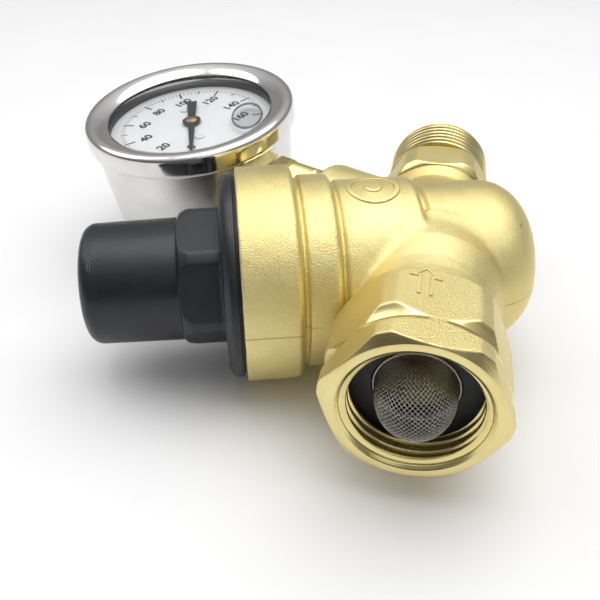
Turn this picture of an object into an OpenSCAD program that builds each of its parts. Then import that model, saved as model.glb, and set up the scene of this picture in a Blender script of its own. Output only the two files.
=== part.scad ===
// Water pressure regulator with a bottom-entry pressure gauge, made as separate pieces.
// Millimetres. The origin is the centre of the inlet mouth. +Y is the way the water flows,
// +Z is the side that the gauge's dial faces. The bonnet's axis lies in the XY plane.

/* [Ports] */
// overall length, inlet mouth to outlet end
body_length = 104; // [100:1:110]
// radius of the inlet's thread socket (3/4 in garden hose thread, major)
inlet_r = 13.65; // [13.6:0.05:13.7]
// depth of the inlet's thread socket
inlet_depth = 7.4; // [7:0.1:12]
// distance across the flats of the inlet hexagon
inlet_flats = 32.6; // [31:0.1:34]
// turn of the inlet hexagon about the flow axis
inlet_turn = 8.5; // [0:0.5:30]
// radius of the outlet's male thread (3/4 in garden hose thread, major)
outlet_r = 13.4; // [13.3:0.05:13.45]
// length of the outlet's male thread
outlet_thread = 14; // [12:0.5:16]
// distance across the flats of the outlet hexagon
outlet_flats = 27; // [26:0.5:30]
// radius of the domed screen
screen_r = 7.85; // [7.5:0.05:9]
// height of the domed screen above its rim
screen_rise = 11.4; // [8:0.1:12]

/* [Body] */
// flow distance from the inlet mouth to the bonnet's axis
axis_y = 51; // [48:0.5:54]
// slant of the bonnet's axis from square to the flow
slant = 17; // [0:1:20]
// radius of the brass flange
flange_r = 24.3; // [23:0.1:26]
// radius of the second step
step2_r = 21.9; // [21:0.1:23]
// radius of the third step
step3_r = 20.3; // [19.5:0.1:21]
// radius of the end section
step4_r = 18.6; // [18:0.1:19]

/* [Bonnet] */
// radius of the round cap
cap_r = 13.9; // [13:0.1:15]
// distance across the flats of the bonnet hexagon
cap_flats = 28.4; // [27:0.1:31]
// radius of the bonnet flange
bonnet_flange_r = 23.2; // [22:0.1:24]
// pitch of the adjusting screw
screw_pitch = 1.5; // [1:0.25:2]

/* [Valve] */
// radius of the piston bore
piston_bore_r = 17.5; // [16:0.5:18]
// radius of the valve seat's orifice
orifice_r = 6; // [5:0.5:7]
// travel of the piston from open to shut
piston_travel = 1.8; // [1.5:0.1:2.5]

/* [Gauge] */
// distance along the stem axis from its root to the gauge's centre
gauge_reach = 86.7; // [84:0.1:90]
// where the stem axis meets the bonnet's axis
stem_root = 7.5; // [5:0.5:10]
// angle between the stem and the bonnet's axis
stem_angle = 45; // [40:1:50]
// turn of the gauge about its stem
gauge_turn = -7.5; // [-15:0.5:15]
// radius of the bezel
bezel_r = 29.4; // [28:0.1:31]
// radius of the dial opening
dial_open_r = 22.9; // [22:0.1:24]
// teeth on the pointer's pinion
pinion_teeth = 12; // [10:1:14]
// teeth on the whole circle of the sector
sector_teeth = 72; // [60:1:84]
// gear module
gear_m = 0.35; // [0.3:0.05:0.4]

/* [Hidden] */
$fn = 96;

// stations along the bonnet's axis, measured from the flow axis, + towards the closed end
flange_s = -43.9;
flange_end_s = -31.6;
step2_s = -30.1;
step2_end_s = -23.5;
step3_s = -22;
step3_end_s = -5;
step4_s = -3.4;
body_end_s = 22.8;
end_round = 11;
// bonnet stations
bonnet_flange_s = -47.6;
cap_hex_s = -57.2;
cap_end_s = -78.1;
cap_round = 3;
cap_turn = 38;
bonnet_bore_r = 11.2;
bonnet_spigot_r = 19.9;
spigot_end_s = -38.5;
// valve stations
piston_top_s = -36.4;
piston_stop_s = -28;
chamber_r = 12;
sleeve_s = -6;
sleeve_bore_r = 10;
inlet_chamber_end_s = 17.5;
seat_face_s = 3.6;
disc_gap = piston_travel + 0.05;
disc_s = seat_face_s + disc_gap;
// spring
spring_r = 8.4;
spring_wire_r = 1.15;
spring_turns = 6;
// outlet stations
outlet_thread_y = body_length - outlet_thread;
outlet_hex_y = 76;
outlet_hex_end = outlet_thread_y - 2.4;
outlet_bore_r = 9.4;
// gauge heights above the stem's axis
case_back = -11;
bezel_top = 18.8;
dial_z = 12.6;
window_z = 14.9;
movement_z = 3.2;
// gear centres: the sector pivots on the outlet side of the pointer
gear_centre = gear_m * (pinion_teeth + sector_teeth) / 2;
sector_dir = 340;
// directions of the two pillars, and of the sector's tail and its link
pillar_dirs = [60, 240];
tail_r = 4.4;
tail_dir = 310;
link_dir = 62.4;
stem_heading = 180 + slant - stem_angle;
stem_x = stem_root * cos(slant);
stem_y = axis_y + stem_root * sin(slant);
gauge_x = stem_x + gauge_reach * cos(stem_heading);
gauge_y = stem_y + gauge_reach * sin(stem_heading);

// places children with +Z along the bonnet's axis, z = 0 on the flow axis
module on_axis() {
  translate([0, axis_y, 0]) rotate([0, 0, slant]) rotate([0, 90, 0]) children();
}
// places children with +Z along the flow, z = 0 at the inlet mouth
module on_flow() {
  rotate([-90, 0, 0]) children();
}
// places children with +Z along the gauge stem, z = 0 at its root
module on_stem() {
  translate([stem_x, stem_y, 0]) rotate([0, 0, stem_heading]) rotate([0, 90, 0]) children();
}
// places children with +Z out of the dial and -Y towards the stem
module in_gauge() {
  translate([gauge_x, gauge_y, 0]) rotate([0, 0, stem_heading - 90]) rotate([0, gauge_turn, 0]) children();
}
module ring(r_out, r_in, z0, z1) {
  translate([0, 0, z0]) linear_extrude(z1 - z0) difference() { circle(r_out); circle(r_in); }
}
module disc(r, z0, z1) {
  translate([0, 0, z0]) cylinder(r = r, h = z1 - z0);
}
module hexagon(flats, z0, z1, turn = 0) {
  translate([0, 0, z0]) rotate([0, 0, turn]) cylinder(r = flats / 2 / cos(30), h = z1 - z0, $fn = 6);
}
// points of a quarter round between two directions
function arc(cx, cy, r, a0, a1, n) = [for (i = [0:n]) [cx + r * cos(a0 + (a1 - a0) * i / n), cy + r * sin(a0 + (a1 - a0) * i / n)]];

// ---------------------------------------------------------------- brass body
module body_barrel() {
  rotate_extrude() polygon(concat(
    [[0, flange_s], [flange_r - 0.5, flange_s], [flange_r, flange_s + 0.5]],
    arc(flange_r - 1.4, flange_end_s - 0.9, 1.4, 0, 60, 4),
    [[step2_r + 0.6, step2_s - 0.9], [step2_r, step2_s]],
    arc(step2_r - 1, step2_end_s - 0.8, 1, 0, 55, 3),
    [[step3_r + 0.4, step3_s - 0.6], [step3_r, step3_s]],
    arc(step3_r - 1, step3_end_s - 0.8, 1, 0, 55, 3),
    [[step4_r + 0.4, step4_s - 0.6], [step4_r, step4_s]],
    arc(step4_r - end_round, body_end_s - 0.9 - end_round, end_round, 0, 84, 10),
    [[0, body_end_s]]));
}
module inlet_outside() {
  intersection() {
    hexagon(inlet_flats, 0, 25, inlet_turn);
    rotate_extrude() polygon([[0, 0], [16.6, 0], [18, 1.2], [18, 5], [17, 6], [16.4, 7.2], [16.4, 7.8],
      [17, 9], [18, 10], [18, 20.6], [17.2, 22], [15.6, 23.6], [15, 25], [0, 25]]);
  }
  rotate_extrude() polygon([[0, 20], [15, 20], [15, 27], [15.5, 30], [16.8, 33], [18, 36], [18, 44], [0, 44]]);
}
module outlet_outside() {
  rotate_extrude() polygon([[0, 58], [15, 58], [14.6, 66], [12.6, 70], [11.8, 73], [13.4, 76], [13.4, 77], [0, 77]]);
  intersection() {
    hexagon(outlet_flats, outlet_hex_y, outlet_hex_end, 0);
    rotate_extrude() polygon([[0, 76], [13.4, 76], [14.7, 77.4], [14.7, outlet_hex_end - 1.6],
      [13.2, outlet_hex_end], [0, outlet_hex_end]]);
  }
  disc(outlet_r - 1.4, outlet_hex_end - 1, outlet_thread_y + 1);
  rotate_extrude() polygon([[0, outlet_thread_y], [outlet_r - 1.2, outlet_thread_y], [outlet_r, outlet_thread_y + 0.8],
    [outlet_r, body_length - 1], [outlet_r - 1, body_length], [0, body_length]]);
}
module gauge_boss() {
  rotate_extrude() polygon(concat([[0, 12], [13.2, 12], [12.6, 26]], arc(10.9, 38.4, 1.6, 0, 90, 5), [[0, 40]]));
}
module emblem_ring() {
  intersection() {
    translate([-14.3 * cos(slant), axis_y - 14.3 * sin(slant) - 0.1, 0]) {
      ring(5.8, 4.5, 12, step3_r + 2);
      disc(2, 12, step3_r + 2);
    }
    on_axis() disc(step3_r + 0.4, step3_s, step3_end_s);
  }
}
module arrow_outline() {
  polygon([[-1.6, 13.6], [-1.6, 19], [-4, 19], [0, 23.2], [4, 19], [1.6, 19], [1.6, 13.6],
    [0.95, 13.6], [0.95, 19.7], [2.3, 19.7], [0, 22.1], [-2.3, 19.7], [-0.95, 19.7], [-0.95, 13.6]]);
}
module valve_body() {
  color([0.84, 0.72, 0.36]) difference() {
    union() {
      on_axis() body_barrel();
      on_flow() inlet_outside();
      on_flow() outlet_outside();
      on_stem() gauge_boss();
      emblem_ring();
      rotate([0, inlet_turn, 0]) translate([-2.6, 0, inlet_flats / 2 - 0.4]) linear_extrude(0.75) arrow_outline();
    }
    // inlet: thread socket, washer seat and waterway
    on_flow() disc(inlet_r, -1, inlet_depth + 3.4);
    on_flow() rotate_extrude() polygon([[0, -1], [inlet_r + 1, -1], [inlet_r, 0.9], [0, 0.9]]);
    on_flow() disc(8, inlet_depth, 30);
    // passage from the inlet to the chamber below the seat
    translate([0, 28, 0]) rotate([0, 0, -39]) rotate([-90, 0, 0]) cylinder(r = 5.2, h = 22);
    // piston bore, outlet chamber, sleeve bore and inlet chamber
    on_axis() disc(20, flange_s - 1, spigot_end_s + 0.6);
    on_axis() disc(piston_bore_r, flange_s - 1, piston_stop_s);
    on_axis() disc(chamber_r, piston_stop_s - 1, sleeve_s);
    on_axis() disc(sleeve_bore_r, sleeve_s - 1, inlet_chamber_end_s);
    // passage from the outlet chamber to the outlet bore
    on_axis() translate([0, 5, -9]) rotate([-51, 0, 0]) cylinder(r = 4.8, h = 26);
    on_flow() disc(outlet_bore_r, 72, body_length + 1);
    // gauge port
    on_stem() disc(6.6, 27, 41);
    on_stem() disc(2.5, 15, 28);
  }
}

// ---------------------------------------------------------------- bonnet and adjustment
module bonnet() {
  color([0.06, 0.06, 0.07]) on_axis() difference() {
    union() {
      rotate_extrude() polygon(concat([[0, cap_end_s]],
        arc(cap_r - 0.3 - cap_round, cap_end_s + cap_round, cap_round, -90, 0, 6),
        [[cap_r, cap_hex_s + 1], [0, cap_hex_s + 1]]));
      intersection() {
        hexagon(cap_flats, cap_hex_s, bonnet_flange_s + 0.6, cap_turn);
        rotate_extrude() polygon([[0, cap_hex_s], [14, cap_hex_s], [15.2, cap_hex_s + 0.9], [15.7, cap_hex_s + 2.2],
          [15.7, bonnet_flange_s + 0.6], [0, bonnet_flange_s + 0.6]]);
      }
      rotate_extrude() polygon([[0, bonnet_flange_s], [bonnet_flange_r - 1.6, bonnet_flange_s],
        [bonnet_flange_r, bonnet_flange_s + 1.4], [bonnet_flange_r, flange_s - 0.6], [0, flange_s - 0.6]]);
      disc(bonnet_spigot_r, flange_s - 0.7, spigot_end_s);
    }
    disc(bonnet_bore_r, -71, spigot_end_s + 1);
    disc(16.6, -44.6, spigot_end_s + 1);
    disc(5.08, cap_end_s - 1, -70);
    disc(7.4, cap_end_s - 1, cap_end_s + 2.2);
  }
}
module bonnet_gasket() {
  color([0.1, 0.1, 0.1]) on_axis() ring(22.4, 20.3, flange_s - 0.6, flange_s);
}
module adjusting_screw() {
  color([0.75, 0.66, 0.36]) on_axis() difference() {
    union() {
      rotate_extrude() polygon([[0, -77.6], [5 - screw_pitch / 2, -77.6], [5, -77.6 + screw_pitch / 2],
        [5, -64.4 - screw_pitch / 2], [5 - screw_pitch / 2, -64.4], [0, -64.4]]);
      disc(2.4, -64.5, -62.6);
    }
    translate([0, 0, -77.6]) cube([1.4, 11, 3], center = true);
  }
}
module spring_button() {
  color([0.72, 0.72, 0.74]) on_axis() difference() {
    union() {
      ring(10.9, 2.48, -64.2, -61.8);
      ring(6.9, 2.48, -62, -61.5);
      disc(6.9, -61.6, -58.6);
    }
    disc(3, -60, -58);
  }
}
// one turn of wire is swept as an eight-sided tube
function coil_ring(r, z, a, n) = [for (j = [0:n - 1])
  [(r + spring_wire_r * cos(360 * j / n)) * cos(a), (r + spring_wire_r * cos(360 * j / n)) * sin(a), z + spring_wire_r * sin(360 * j / n)]];
module coil(z0, z1, turns) {
  steps = turns * 20;
  n = 8;
  pts = [for (i = [0:steps]) each coil_ring(spring_r, z0 + (z1 - z0) * i / steps, 360 * turns * i / steps, n)];
  sides = [for (i = [0:steps - 1]) for (j = [0:n - 1])
    [i * n + j, (i + 1) * n + j, (i + 1) * n + (j + 1) % n, i * n + (j + 1) % n]];
  polyhedron(points = pts, faces = concat([[for (j = [0:n - 1]) j]], sides, [[for (j = [n - 1:-1:0]) steps * n + j]]));
}
module range_spring() {
  color([0.55, 0.56, 0.58]) on_axis() coil(-61.7 + spring_wire_r, piston_top_s - 0.1 - spring_wire_r, spring_turns);
}

// ---------------------------------------------------------------- valve works
module piston() {
  color([0.8, 0.7, 0.4]) on_axis() difference() {
    union() {
      rotate_extrude() polygon([[0, piston_top_s], [17.44, piston_top_s], [17.44, -33.6], [15.4, -33.6], [15.4, -30.8],
        [17.44, -30.8], [17.44, piston_stop_s - 0.05], [8, piston_stop_s - 0.05], [3, piston_stop_s + 1.6], [3, disc_s - 0.05],
        [2, disc_s - 0.05], [2, 13], [0, 13]]);
      disc(6.6, piston_top_s - 3, piston_top_s + 1);
    }
    disc(3.4, piston_top_s - 4, piston_top_s - 0.5);
  }
}
module piston_oring() {
  color([0.08, 0.08, 0.08]) on_axis() translate([0, 0, -32.2]) rotate_extrude() translate([16.43, 0]) circle(r = 1.02, $fn = 24);
}
module seat_sleeve() {
  color([0.78, 0.68, 0.38]) on_axis() rotate_extrude() polygon([[orifice_r, sleeve_s - 2], [11.9, sleeve_s - 2],
    [11.9, sleeve_s], [9.97, sleeve_s], [9.97, -3], [8.6, -3], [8.6, -1], [9.97, -1], [9.97, 2], [8, 2.6],
    [orifice_r + 0.9, 2.8], [orifice_r + 0.7, seat_face_s], [orifice_r, seat_face_s]]);
}
module sleeve_oring() {
  color([0.08, 0.08, 0.08]) on_axis() translate([0, 0, -2]) rotate_extrude() translate([9.29, 0]) circle(r = 0.68, $fn = 24);
}
module seat_disc() {
  color([0.12, 0.12, 0.12]) on_axis() ring(7.9, 2.02, disc_s, disc_s + 2.4);
}
module disc_holder() {
  color([0.8, 0.7, 0.4]) on_axis() {
    ring(8.6, 2.02, disc_s + 2.4, disc_s + 4);
    ring(8.6, 7.92, disc_s + 1, disc_s + 2.5);
  }
}
module disc_nut() {
  color([0.7, 0.7, 0.7]) on_axis() difference() {
    hexagon(7, disc_s + 4, disc_s + 6.8);
    disc(2.02, disc_s + 3, disc_s + 8);
  }
}

// ---------------------------------------------------------------- inlet washer and screen
module inlet_washer() {
  color([0.05, 0.05, 0.05]) on_flow() difference() {
    ring(13.5, 7.4, inlet_depth, inlet_depth + 3.3);
    ring(8.45, 7, inlet_depth - 0.1, inlet_depth + 0.9);
  }
}
module screen_rim() {
  color([0.78, 0.78, 0.78]) on_flow() ring(8.4, 7.9, inlet_depth - 0.3, inlet_depth + 0.8);
}
// a tall blunt dome of mesh, as one thin shell
function dome_point(r, rise, a) = [r * pow(sin(a), 0.82), inlet_depth + 0.7 - rise * pow(cos(a), 0.82)];
module screen_mesh() {
  color([0.7, 0.7, 0.7]) on_flow() rotate_extrude() polygon(concat(
    [[0, inlet_depth + 0.7 - screen_rise]],
    [for (i = [1:17]) dome_point(screen_r, screen_rise, 5 * i)],
    [[screen_r, inlet_depth + 0.7], [screen_r - 0.45, inlet_depth + 0.7]],
    [for (i = [17:-1:1]) dome_point(screen_r - 0.45, screen_rise - 0.45, 5 * i)],
    [[0, inlet_depth + 1.15 - screen_rise]]));
}

// ---------------------------------------------------------------- gauge connection
module gauge_adapter() {
  color([0.82, 0.7, 0.36]) on_stem() difference() {
    union() {
      disc(6.52, 28.5, 43);
      ring(8.4, 6, 40, 42);
      intersection() {
        hexagon(19, 42, 51.6, 0);
        rotate_extrude() polygon([[0, 42], [9.6, 42], [10.6, 43.2], [10.6, 50.4], [9.6, 51.6], [0, 51.6]]);
      }
    }
    disc(2.4, 28, 44);
    disc(5.2, 43, 52);
  }
}
module adapter_oring() {
  color([0.08, 0.08, 0.08]) on_stem() ring(8.8, 8.45, 40.02, 41.9);
}
module gauge_stem() {
  color([0.82, 0.7, 0.36]) difference() {
    union() {
      on_stem() disc(5.12, 44, 52.5);
      on_stem() disc(6.4, 51.7, 55.6);
      intersection() {
        in_gauge() translate([-7.5, -32.2, -7.5]) cube([15, 4.6, 15]);
        on_stem() disc(9.8, 55, 64);
      }
      in_gauge() translate([-5.4, -31.7, -5.4]) cube([10.8, 16.4, 10.8]);
      in_gauge() translate([-5.4, -21.5, -10.05]) cube([10.8, 6.2, 8]);
    }
    in_gauge() for (x = [-3.2, 3.2]) translate([x, -18.4, -11]) cylinder(r = 0.9, h = 6.6);
    on_stem() disc(1.6, 43, gauge_reach - 18);
  }
}
module case_hole_box() {
  translate([-5.6, -32, -5.6]) cube([11.2, 12, 11.2]);
}
module gauge_case() {
  color([0.78, 0.79, 0.8]) in_gauge() difference() {
    rotate_extrude() polygon([[0, case_back], [24.6, case_back], [25.8, case_back + 0.5], [26.4, case_back + 1.6],
      [27.9, 13.4], [27.9, 14.6], [27.2, 14.6], [27.2, 13.4], [25.7, case_back + 1.9], [24.4, case_back + 0.9], [0, case_back + 0.9]]);
    case_hole_box();
    translate([0, 24, 5]) rotate([-90, 0, 0]) cylinder(r = 4, h = 6);
    for (x = [-3.2, 3.2]) translate([x, -18.4, case_back - 1]) cylinder(r = 0.9, h = 4);
  }
}
module case_gasket() {
  color([0.08, 0.08, 0.08]) in_gauge() difference() {
    translate([-6.4, -25, -6.4]) cube([12.8, 1, 12.8]);
    translate([-5.5, -27, -5.5]) cube([11, 4, 11]);
  }
}
module case_screws() {
  color([0.7, 0.7, 0.72]) in_gauge() for (x = [-3.2, 3.2]) translate([x, -18.4, 0]) difference() {
    union() {
      disc(0.85, case_back - 0.1, -4.5);
      disc(1.7, case_back - 1.1, case_back - 0.05);
    }
    translate([0, 0, case_back - 1.1]) cube([0.5, 3.6, 0.8], center = true);
  }
}
module fill_plug() {
  color([0.05, 0.05, 0.05]) in_gauge() translate([0, 0, 5]) rotate([-90, 0, 0]) {
    disc(3.9, 26, 28.6);
    disc(5.2, 28.2, 29.4);
    disc(5, 24.2, 25.6);
    disc(3.6, 25.4, 26.2);
  }
}
module gauge_bezel() {
  color([0.82, 0.83, 0.84]) in_gauge() rotate_extrude() polygon([[28.05, 12.6], [28.6, 12.4], [29.2, 12.9],
    [bezel_r, 13.6], [bezel_r, 17.8], [29.1, 18.5], [28.5, bezel_top], [27.8, 18.7], [26.6, 18], [dial_open_r + 0.4, 17.3],
    [dial_open_r, 17.25], [dial_open_r, 16.7], [26.4, 16.9], [28.05, 17.3]]);
}
module gauge_window() {
  color([0.85, 0.9, 0.92, 0.35]) in_gauge() disc(26.8, window_z, window_z + 1.75);
}
module window_gasket() {
  color([0.1, 0.1, 0.1]) in_gauge() {
    ring(27.9, 26.9, 14.7, 16.75);
    ring(27.1, 23.2, 13.15, 14.85);
  }
}

// ---------------------------------------------------------------- gauge works
module gauge_dial() {
  color([0.97, 0.97, 0.96]) in_gauge() difference() {
    disc(25.2, dial_z, dial_z + 0.5);
    disc(1.6, dial_z - 1, dial_z + 1);
    for (a = pillar_dirs) rotate([0, 0, a]) translate([9, 0, dial_z - 1]) cylinder(r = 0.8, h = 3);
  }
}
module dial_screws() {
  color([0.8, 0.8, 0.8]) in_gauge() for (a = pillar_dirs) rotate([0, 0, a]) translate([9, 0, 0]) difference() {
    union() {
      disc(0.75, 9.3, dial_z + 0.6);
      disc(1.4, dial_z + 0.52, dial_z + 0.92);
    }
    translate([0, 0, dial_z + 0.92]) cube([0.35, 3, 0.4], center = true);
  }
}
module movement_plate() {
  difference() {
    linear_extrude(1) difference() {
      union() {
        circle(r = 4);
        rotate([0, 0, sector_dir]) translate([gear_centre, 0]) circle(r = 4);
        rotate([0, 0, sector_dir]) translate([0, -3.6]) square([gear_centre, 7.2]);
        for (a = pillar_dirs) rotate([0, 0, a]) translate([9, 0]) circle(r = 2.6);
        rotate([0, 0, 60]) translate([-9, -2.2]) square([18, 4.4]);
      }
      circle(r = 0.86);
      rotate([0, 0, sector_dir]) translate([gear_centre, 0]) circle(r = 0.86);
    }
  }
}
module movement_plates() {
  color([0.8, 0.72, 0.45]) in_gauge() {
    difference() {
      union() {
        translate([0, 0, movement_z]) movement_plate();
        translate([-5, -15.25, movement_z]) cube([10, 14, 1]);
        translate([-5, -15.25, -4]) cube([10, 1, movement_z + 4.5]);
      }
      translate([0, 0, movement_z - 2]) cylinder(r = 0.86, h = 12);
    }
    translate([0, 0, movement_z + 5]) movement_plate();
  }
}
module movement_pillars() {
  color([0.8, 0.72, 0.45]) in_gauge() for (a = pillar_dirs) rotate([0, 0, a]) translate([9, 0, 0]) {
    disc(1.9, movement_z + 1, movement_z + 5);
    difference() {
      disc(1.9, movement_z + 6, dial_z);
      disc(0.8, movement_z + 6, dial_z + 1);
    }
  }
}
// a flat tube bent to a C around the case, from the socket to the free tip
module bourdon_tube() {
  color([0.82, 0.72, 0.42]) in_gauge() {
    rotate([0, 0, 6]) rotate_extrude(angle = 248.3) translate([20.5, -2.6]) difference() {
      square([2, 5.2]);
      translate([0.35, 0.35]) square([1.3, 4.5]);
    }
    translate([-6.1, -22.2, -2.6]) cube([0.7, 2.5, 5.2]);
  }
}
link_pin = [19.9, -2.2];
module tube_tip() {
  color([0.8, 0.72, 0.45]) in_gauge() {
    rotate([0, 0, 6]) translate([18.4, -5.6, -2.2]) cube([4.4, 5.6, 4.4]);
    translate(link_pin) disc(1.3, 2, 5.3);
    translate(link_pin) disc(0.5, 5, 6.6);
  }
}
function sector_centre() = [gear_centre * cos(sector_dir), gear_centre * sin(sector_dir)];
function sector_tail() = sector_centre() + tail_r * [cos(tail_dir), sin(tail_dir)];
module gauge_link() {
  color([0.78, 0.7, 0.44]) in_gauge() translate([0, 0, movement_z + 2.2]) linear_extrude(0.8)
    translate(sector_tail()) rotate([0, 0, link_dir]) difference() {
      union() {
        circle(r = 1.6, $fn = 48);
        translate([0, -1.6]) square([7, 3.2]);
        translate([7, 0]) circle(r = 1.6, $fn = 48);
      }
      circle(r = 0.66, $fn = 32);
      translate([7, 0]) circle(r = 0.95, $fn = 32);
      translate([3.5, 0]) circle(r = 0.95, $fn = 32);
      translate([3.5, -0.95]) square([3.5, 1.9]);
    }
}
function tooth(n, k, r0, r1) = let (p = 360 / n) [
  [r0 * cos(p * (k - 0.34)), r0 * sin(p * (k - 0.34))], [r1 * cos(p * (k - 0.16)), r1 * sin(p * (k - 0.16))],
  [r1 * cos(p * (k + 0.16)), r1 * sin(p * (k + 0.16))], [r0 * cos(p * (k + 0.34)), r0 * sin(p * (k + 0.34))]];
pinion_pitch_r = gear_m * pinion_teeth / 2;
sector_pitch_r = gear_m * sector_teeth / 2;
// the sector's last tooth is in mesh at rest, so the whole range runs off its other end
module sector_gear() {
  color([0.82, 0.74, 0.46]) in_gauge() translate([sector_centre()[0], sector_centre()[1], 0]) {
    translate([0, 0, movement_z + 3.2]) linear_extrude(0.9) difference() {
      union() {
        rotate([0, 0, sector_dir - 180]) polygon(concat(
          [for (k = [-10:1]) each tooth(sector_teeth, k, sector_pitch_r - 0.42, sector_pitch_r + 0.26)],
          [[1, 1.8], [-1.8, 0.6], [-0.6, -1.8]]));
        circle(r = 2.2, $fn = 48);
        rotate([0, 0, tail_dir]) translate([0, -0.9]) square([tail_r, 1.8]);
        rotate([0, 0, tail_dir]) translate([tail_r, 0]) circle(r = 1.3, $fn = 32);
      }
      circle(r = 0.5, $fn = 24);
    }
    disc(0.8, movement_z + 0.1, movement_z + 5.9);
    disc(1.4, movement_z + 1.05, movement_z + 3.3);
    disc(1.4, movement_z + 4, movement_z + 4.95);
    rotate([0, 0, tail_dir]) translate([tail_r, 0, 0]) disc(0.6, movement_z + 1.9, movement_z + 3.4);
  }
}
module pointer_shaft() {
  color([0.75, 0.75, 0.76]) in_gauge() {
    disc(0.76, movement_z - 0.6, dial_z + 2);
    disc(1.3, movement_z + 1.05, movement_z + 2);
    translate([0, 0, movement_z + 2.9]) linear_extrude(1.5) rotate([0, 0, sector_dir + 15])
      polygon([for (k = [0:pinion_teeth - 1]) each tooth(pinion_teeth, k, pinion_pitch_r - 0.42, pinion_pitch_r + 0.24)]);
  }
}
module hairspring() {
  color([0.75, 0.7, 0.5]) in_gauge() translate([0, 0, movement_z + 6.4]) linear_extrude(0.7) polygon(concat(
    [for (i = [0:96]) (0.9 + 3.2 * i / 96) * [cos(15 * i), sin(15 * i)]],
    [for (i = [96:-1:0]) (0.9 + 3.2 * i / 96 - 0.16) * [cos(15 * i), sin(15 * i)]]));
}
// the pointer rests at the dial's zero, an eighth of a turn clockwise from the stem
pointer_rest = -90 - 45;
module gauge_pointer() {
  color([0.04, 0.04, 0.04]) in_gauge() rotate([0, 0, pointer_rest]) translate([0, 0, dial_z + 1.1]) linear_extrude(0.4) difference() {
    union() {
      circle(r = 2.6, $fn = 48);
      polygon([[-12, -1.5], [-2, -1], [0, -1.1], [19.6, -0.2], [19.6, 0.2], [0, 1.1], [-2, 1], [-12, 1.5]]);
    }
    circle(r = 0.78, $fn = 32);
  }
}
module pointer_hub() {
  color([0.62, 0.5, 0.3]) in_gauge() difference() {
    disc(1.9, dial_z + 1.5, dial_z + 2.25);
    disc(0.78, dial_z + 1.4, dial_z + 2.05);
  }
}

valve_body();
bonnet();
bonnet_gasket();
adjusting_screw();
spring_button();
range_spring();
piston();
piston_oring();
seat_sleeve();
sleeve_oring();
seat_disc();
disc_holder();
disc_nut();
inlet_washer();
screen_rim();
screen_mesh();
gauge_adapter();
adapter_oring();
gauge_stem();
gauge_case();
case_gasket();
case_screws();
fill_plug();
gauge_bezel();
gauge_window();
window_gasket();
gauge_dial();
dial_screws();
movement_plates();
movement_pillars();
bourdon_tube();
tube_tip();
gauge_link();
sector_gear();
pointer_shaft();
hairspring();
gauge_pointer();
pointer_hub();
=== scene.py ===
"""A brass water pressure regulator with a bottom-entry pressure gauge."""

import math

import bpy
import numpy as np
from mathutils import Matrix, Vector


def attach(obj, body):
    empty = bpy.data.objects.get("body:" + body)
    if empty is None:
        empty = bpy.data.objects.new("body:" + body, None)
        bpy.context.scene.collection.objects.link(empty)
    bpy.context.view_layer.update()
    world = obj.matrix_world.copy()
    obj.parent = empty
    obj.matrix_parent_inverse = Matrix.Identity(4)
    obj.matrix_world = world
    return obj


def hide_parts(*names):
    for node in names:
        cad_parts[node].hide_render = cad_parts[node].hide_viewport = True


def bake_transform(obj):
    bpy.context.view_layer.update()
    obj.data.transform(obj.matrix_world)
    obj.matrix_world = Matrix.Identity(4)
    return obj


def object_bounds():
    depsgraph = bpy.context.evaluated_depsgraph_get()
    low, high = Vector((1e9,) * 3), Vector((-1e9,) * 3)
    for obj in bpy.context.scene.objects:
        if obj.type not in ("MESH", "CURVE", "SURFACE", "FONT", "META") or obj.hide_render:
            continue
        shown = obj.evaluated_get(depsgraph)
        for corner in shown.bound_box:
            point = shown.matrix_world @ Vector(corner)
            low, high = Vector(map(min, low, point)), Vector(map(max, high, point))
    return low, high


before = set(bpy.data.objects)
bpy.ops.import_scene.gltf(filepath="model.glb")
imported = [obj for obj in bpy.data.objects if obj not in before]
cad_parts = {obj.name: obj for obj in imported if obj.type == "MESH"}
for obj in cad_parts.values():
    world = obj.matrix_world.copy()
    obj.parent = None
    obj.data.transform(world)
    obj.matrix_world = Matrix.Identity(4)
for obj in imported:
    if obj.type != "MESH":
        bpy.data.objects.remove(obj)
cad_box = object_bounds()
MM = 0.001
STEP = 0.32


# ---------------------------------------------------------------- frames, in millimetres
def turn(axis, degrees):
    return Matrix.Rotation(math.radians(degrees), 4, axis)


SLANT = 17
AXIS_Y = 51
STEM_HEADING = 152
ON_AXIS = Matrix.Translation((0, AXIS_Y, 0)) @ turn("Z", SLANT) @ turn("Y", 90)
ON_FLOW = turn("X", -90)
ON_STEM = Matrix.Translation((7.172, 53.193, 0)) @ turn("Z", STEM_HEADING) @ turn("Y", 90)
IN_GAUGE = Matrix.Translation((-69.379, 93.896, 0)) @ turn("Z", STEM_HEADING - 90) @ turn("Y", -7.5)


# ---------------------------------------------------------------- dimensions that repeat, in millimetres
INLET_FLATS, INLET_CORNER = 32.6, 8.5
OUTLET_FLATS = 27
BONNET_FLATS, BONNET_CORNER = 28.4, 42
FITTING_FLATS = 19
THREAD_PITCH = 2.209
INLET_ROOT = 13.65
OUTLET_CREST = 13.38
BARREL_TOP = 20.3


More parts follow.
